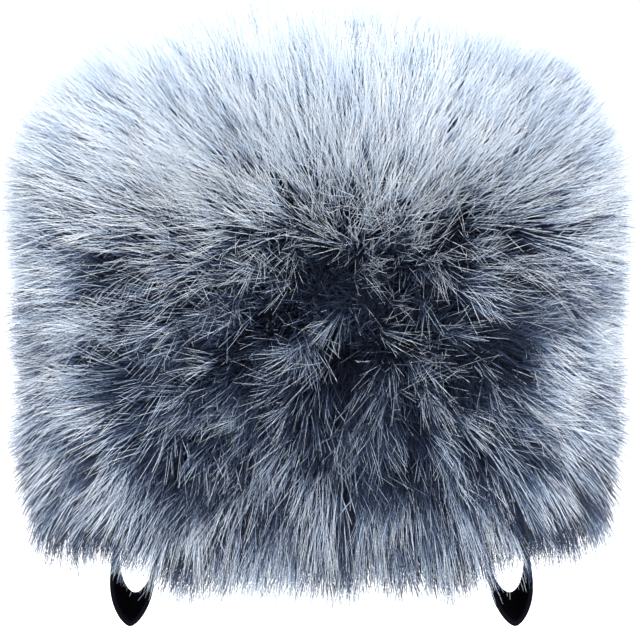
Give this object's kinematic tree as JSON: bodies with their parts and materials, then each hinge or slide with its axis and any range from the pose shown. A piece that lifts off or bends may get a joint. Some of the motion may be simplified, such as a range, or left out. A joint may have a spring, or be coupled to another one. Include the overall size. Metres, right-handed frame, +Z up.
{
  "type": "furry microphone windscreen",
  "caption": "Slip-on long-pile fur windscreen with a foam liner, knitted lining, elastic mouth at the bottom and swinging pull loops at the mouth's ends.",
  "frame": {"origin": "middle of the mouth, level with the lower edge of its binding", "axes": "+X along the width, to the right in the picture, +Y to the rear, +Z up into the cover; the front in the picture faces -Y"},
  "size_m": [0.14, 0.104, 0.1504],
  "materials": {
    "fur": "long soft pile, near-black at the root and pale at the tip",
    "seam_tape": "matte woven tape",
    "foam": "matte open-cell foam",
    "mesh": "matte knitted mesh",
    "binding": "matte woven tape",
    "elastic": "matte braided elastic",
    "thread": "satin sewing thread",
    "pull_tape": "matte woven tape"
  },
  "bodies": {
    "cover": {"front_fur_panel": "fur", "rear_fur_panel": "fur", "left_fur_gusset": "fur", "right_fur_gusset": "fur", "top_fur_gusset": "fur", "front_seam_tape": "seam_tape", "rear_seam_tape": "seam_tape", "front_foam_pad": "foam", "rear_foam_pad": "foam", "left_foam_pad": "foam", "right_foam_pad": "foam", "top_foam_pad": "foam", "mesh_lining": "mesh", "mouth_binding": "binding", "mouth_elastic": "elastic", "mouth_stitches": "thread", "left_tape_ends": "pull_tape", "right_tape_ends": "pull_tape", "left_tape_stitches": "thread", "right_tape_stitches": "thread"},
    "left_loop": {"left_pull_loop": "pull_tape"},
    "right_loop": {"right_pull_loop": "pull_tape"}
  },
  "joints": [
    {"name": "left_loop_swing", "type": "hinge", "parent": "cover", "child": "left_loop", "pos_m": [-0.0444, 0, -0.0014], "axis": [0, 1, 0], "range_deg": [-80, 60]},
    {"name": "right_loop_swing", "type": "hinge", "parent": "cover", "child": "right_loop", "pos_m": [0.0444, 0, -0.0014], "axis": [0, -1, 0], "range_deg": [-80, 60]}
  ]
}
